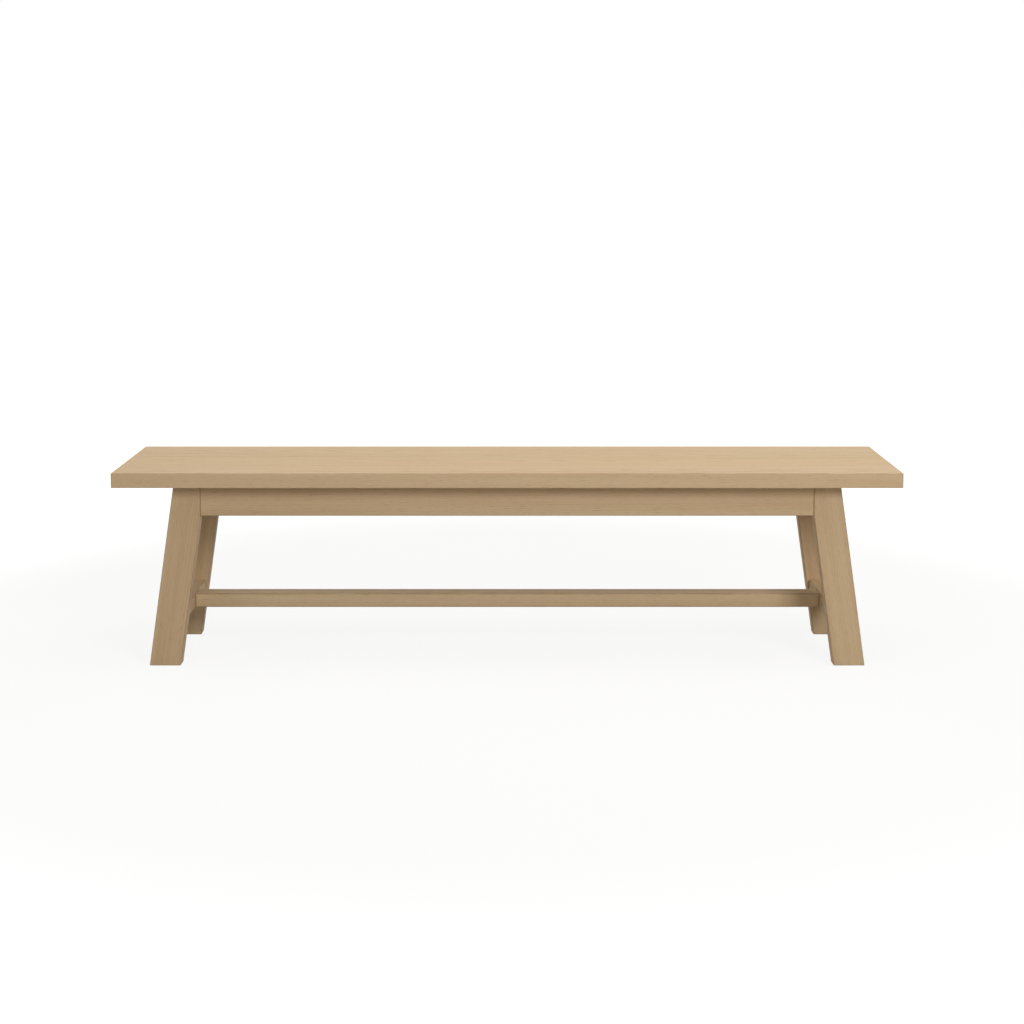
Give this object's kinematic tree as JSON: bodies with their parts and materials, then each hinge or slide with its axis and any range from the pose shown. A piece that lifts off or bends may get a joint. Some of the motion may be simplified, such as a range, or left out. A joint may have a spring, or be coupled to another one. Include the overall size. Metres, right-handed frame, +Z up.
{
  "type": "dining bench",
  "caption": "Long backless wooden bench with a thick plain seat, flat splayed legs flush with a long apron, and a low H-shaped stretcher frame.",
  "frame": {"origin": "on the floor, under the middle of the bench", "axes": "+X along the bench to the right, +Y across it to the rear, +Z up"},
  "size_m": [1.8, 0.4, 0.457],
  "materials": {
    "top_oak": "planed and sanded solid light oak under a thin matt clear lacquer",
    "frame_oak": "planed and sanded solid light oak under a thin matt clear lacquer",
    "inner_beech": "planed beech, left bare",
    "dowel_beech": "turned beech, left bare",
    "zinc_steel": "bright zinc-plated steel"
  },
  "bodies": {
    "root": {"top_board_1": "top_oak", "top_board_2": "top_oak", "top_board_3": "top_oak", "top_board_4": "top_oak", "leg_front_left": "frame_oak", "leg_front_right": "frame_oak", "leg_rear_left": "frame_oak", "leg_rear_right": "frame_oak", "front_apron": "frame_oak", "rear_apron": "frame_oak", "end_apron_left": "frame_oak", "end_apron_right": "frame_oak", "end_stretcher_left": "frame_oak", "end_stretcher_right": "frame_oak", "long_stretcher": "frame_oak", "cross_rail_left": "inner_beech", "cross_rail_centre": "inner_beech", "cross_rail_right": "inner_beech", "corner_block_front_left": "inner_beech", "corner_block_front_right": "inner_beech", "corner_block_rear_left": "inner_beech", "corner_block_rear_right": "inner_beech", "top_buttons": "inner_beech", "apron_dowels": "dowel_beech", "end_apron_dowels": "dowel_beech", "hanger_bolts": "zinc_steel", "bolt_washers": "zinc_steel", "bolt_nuts": "zinc_steel", "corner_block_screws": "zinc_steel", "button_screws": "zinc_steel", "cross_rail_screws": "zinc_steel", "stretcher_bolts": "zinc_steel", "stretcher_washers": "zinc_steel", "barrel_nuts": "zinc_steel"}
  },
  "joints": []
}
